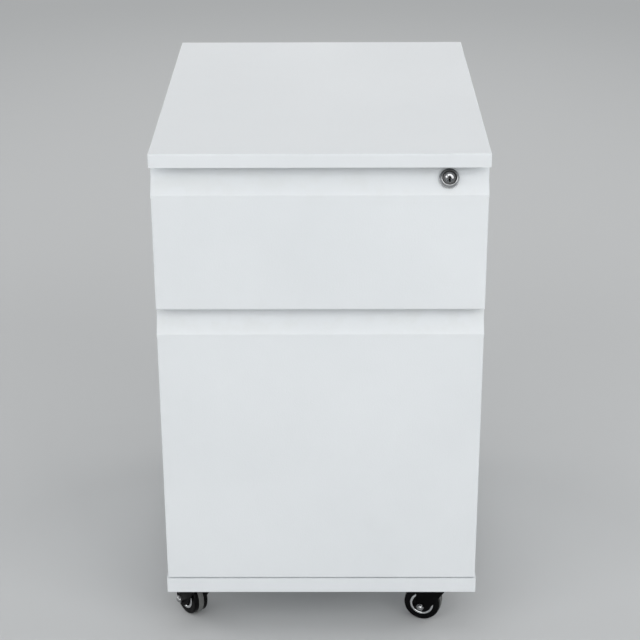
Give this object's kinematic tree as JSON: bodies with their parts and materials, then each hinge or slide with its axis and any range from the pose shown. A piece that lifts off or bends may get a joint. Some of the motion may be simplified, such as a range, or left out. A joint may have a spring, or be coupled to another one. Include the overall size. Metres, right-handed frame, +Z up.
{
  "type": "mobile filing cabinet",
  "caption": "Steel mobile pedestal with a box drawer over a file drawer, sloping full-width finger pulls, a cam lock and swivel casters.",
  "frame": {"origin": "middle of the footprint, on the floor", "axes": "+X to the right, +Y from the drawer faces to the back, +Z up"},
  "size_m": [0.39, 0.5001, 0.644],
  "materials": {
    "casing_white": "fine-grained satin powder coat",
    "inner_white": "satin powder coat",
    "zinc_steel": "bright zinc plate",
    "slide_steel": "rolled zinc-plated steel",
    "cage_steel": "oiled steel balls in a pressed cage",
    "lock_chrome": "satin nickel",
    "fork_black": "gloss black paint",
    "axle_chrome": "bright plate",
    "wheel_black": "moulded black nylon",
    "tread_grey": "matt grey rubber",
    "ring_chrome": "bright trim"
  },
  "bodies": {
    "carcass": {"top_cover": "casing_white", "cover_stiffener": "inner_white", "side_panel_left": "casing_white", "side_panel_right": "casing_white", "back_panel": "casing_white", "base_tray": "casing_white", "top_rail": "inner_white", "uprights_left": "inner_white", "uprights_right": "inner_white", "casing_screws": "zinc_steel", "gang_bar_guides": "zinc_steel", "caster_plates": "zinc_steel", "caster_bolts": "zinc_steel", "box_cabinet_slide_left": "slide_steel", "box_cabinet_slide_right": "slide_steel", "file_cabinet_slide_left": "slide_steel", "file_cabinet_slide_right": "slide_steel"},
    "box_drawer": {"box_drawer_front": "casing_white", "box_drawer_tray": "inner_white", "box_drawer_slide_left": "slide_steel", "box_drawer_slide_right": "slide_steel", "box_drawer_catch": "zinc_steel", "lock_barrel": "lock_chrome", "lock_clip": "zinc_steel"},
    "file_drawer": {"file_drawer_front": "casing_white", "file_drawer_tray": "inner_white", "file_drawer_slide_left": "slide_steel", "file_drawer_slide_right": "slide_steel", "file_drawer_catch": "zinc_steel", "hanging_rail_left": "zinc_steel", "hanging_rail_right": "zinc_steel"},
    "box_middle": {"box_middle_slides": "slide_steel"},
    "file_middle": {"file_middle_slides": "slide_steel"},
    "box_outer_cage": {"box_outer_cages": "cage_steel"},
    "box_inner_cage": {"box_inner_cages": "cage_steel"},
    "file_outer_cage": {"file_outer_cages": "cage_steel"},
    "file_inner_cage": {"file_inner_cages": "cage_steel"},
    "lock_core": {"lock_plug": "lock_chrome", "lock_cam": "zinc_steel"},
    "gang_bar": {"gang_bar": "zinc_steel"},
    "swivel_front_left": {"fork_front_left": "fork_black", "axle_front_left": "axle_chrome"},
    "roller_front_left": {"wheel_front_left": "wheel_black", "tread_front_left": "tread_grey", "wheel_rings_front_left": "ring_chrome"},
    "swivel_front_right": {"fork_front_right": "fork_black", "axle_front_right": "axle_chrome"},
    "roller_front_right": {"wheel_front_right": "wheel_black", "tread_front_right": "tread_grey", "wheel_rings_front_right": "ring_chrome"},
    "swivel_rear_left": {"fork_rear_left": "fork_black", "axle_rear_left": "axle_chrome"},
    "roller_rear_left": {"wheel_rear_left": "wheel_black", "tread_rear_left": "tread_grey", "wheel_rings_rear_left": "ring_chrome"},
    "swivel_rear_right": {"fork_rear_right": "fork_black", "axle_rear_right": "axle_chrome"},
    "roller_rear_right": {"wheel_rear_right": "wheel_black", "tread_rear_right": "tread_grey", "wheel_rings_rear_right": "ring_chrome"}
  },
  "joints": [
    {"name": "box_drawer_slide", "type": "slide", "parent": "carcass", "child": "box_drawer", "axis": [0, -1, 0], "range_m": [0, 0.42]},
    {"name": "box_middle_slide", "type": "slide", "parent": "carcass", "child": "box_middle", "axis": [0, -1, 0], "range_m": [0, 0.21]},
    {"name": "box_outer_cage_slide", "type": "slide", "parent": "carcass", "child": "box_outer_cage", "axis": [0, -1, 0], "range_m": [0, 0.105]},
    {"name": "box_inner_cage_slide", "type": "slide", "parent": "carcass", "child": "box_inner_cage", "axis": [0, -1, 0], "range_m": [0, 0.315]},
    {"name": "file_drawer_slide", "type": "slide", "parent": "carcass", "child": "file_drawer", "axis": [0, -1, 0], "range_m": [0, 0.42]},
    {"name": "file_middle_slide", "type": "slide", "parent": "carcass", "child": "file_middle", "axis": [0, -1, 0], "range_m": [0, 0.21]},
    {"name": "file_outer_cage_slide", "type": "slide", "parent": "carcass", "child": "file_outer_cage", "axis": [0, -1, 0], "range_m": [0, 0.105]},
    {"name": "file_inner_cage_slide", "type": "slide", "parent": "carcass", "child": "file_inner_cage", "axis": [0, -1, 0], "range_m": [0, 0.315]},
    {"name": "lock_turn", "type": "hinge", "parent": "box_drawer", "child": "lock_core", "pos_m": [0.148, -0.23924, 0.61016], "axis": [0, 0.8241, -0.5664], "range_deg": [0, 90]},
    {"name": "gang_bar_drop", "type": "slide", "parent": "carcass", "child": "gang_bar", "axis": [0, 0, -1], "range_m": [0, 0.008]},
    {"name": "swivel_front_left", "type": "hinge", "parent": "carcass", "child": "swivel_front_left", "pos_m": [-0.155, -0.214, 0.062], "axis": [0, 0, 1], "continuous": true},
    {"name": "roll_front_left", "type": "hinge", "parent": "swivel_front_left", "child": "roller_front_left", "pos_m": [-0.16944, -0.19483, 0.024], "axis": [0.7986, 0.6018, 0], "continuous": true},
    {"name": "swivel_front_right", "type": "hinge", "parent": "carcass", "child": "swivel_front_right", "pos_m": [0.155, -0.214, 0.062], "axis": [0, 0, 1], "continuous": true},
    {"name": "roll_front_right", "type": "hinge", "parent": "swivel_front_right", "child": "roller_front_right", "pos_m": [0.13193, -0.20738, 0.024], "axis": [0.2756, 0.9613, 0], "continuous": true},
    {"name": "swivel_rear_left", "type": "hinge", "parent": "carcass", "child": "swivel_rear_left", "pos_m": [-0.155, 0.214, 0.062], "axis": [0, 0, 1], "continuous": true},
    {"name": "roll_rear_left", "type": "hinge", "parent": "swivel_rear_left", "child": "roller_rear_left", "pos_m": [-0.13381, 0.20273, 0.024], "axis": [-0.4695, -0.8829, 0], "continuous": true},
    {"name": "swivel_rear_right", "type": "hinge", "parent": "carcass", "child": "swivel_rear_right", "pos_m": [0.155, 0.214, 0.062], "axis": [0, 0, 1], "continuous": true},
    {"name": "roll_rear_right", "type": "hinge", "parent": "swivel_rear_right", "child": "roller_rear_right", "pos_m": [0.13325, 0.22414, 0.024], "axis": [0.4226, 0.9063, 0], "continuous": true}
  ],
  "couplings": [
    {"joint": "box_middle_slide", "follows": "box_drawer_slide", "ratio": 0.5},
    {"joint": "box_outer_cage_slide", "follows": "box_drawer_slide", "ratio": 0.25},
    {"joint": "box_inner_cage_slide", "follows": "box_drawer_slide", "ratio": 0.75},
    {"joint": "file_middle_slide", "follows": "file_drawer_slide", "ratio": 0.5},
    {"joint": "file_outer_cage_slide", "follows": "file_drawer_slide", "ratio": 0.25},
    {"joint": "file_inner_cage_slide", "follows": "file_drawer_slide", "ratio": 0.75},
    {"joint": "lock_turn", "follows": "gang_bar_drop", "rad_per_m": 196.35}
  ]
}
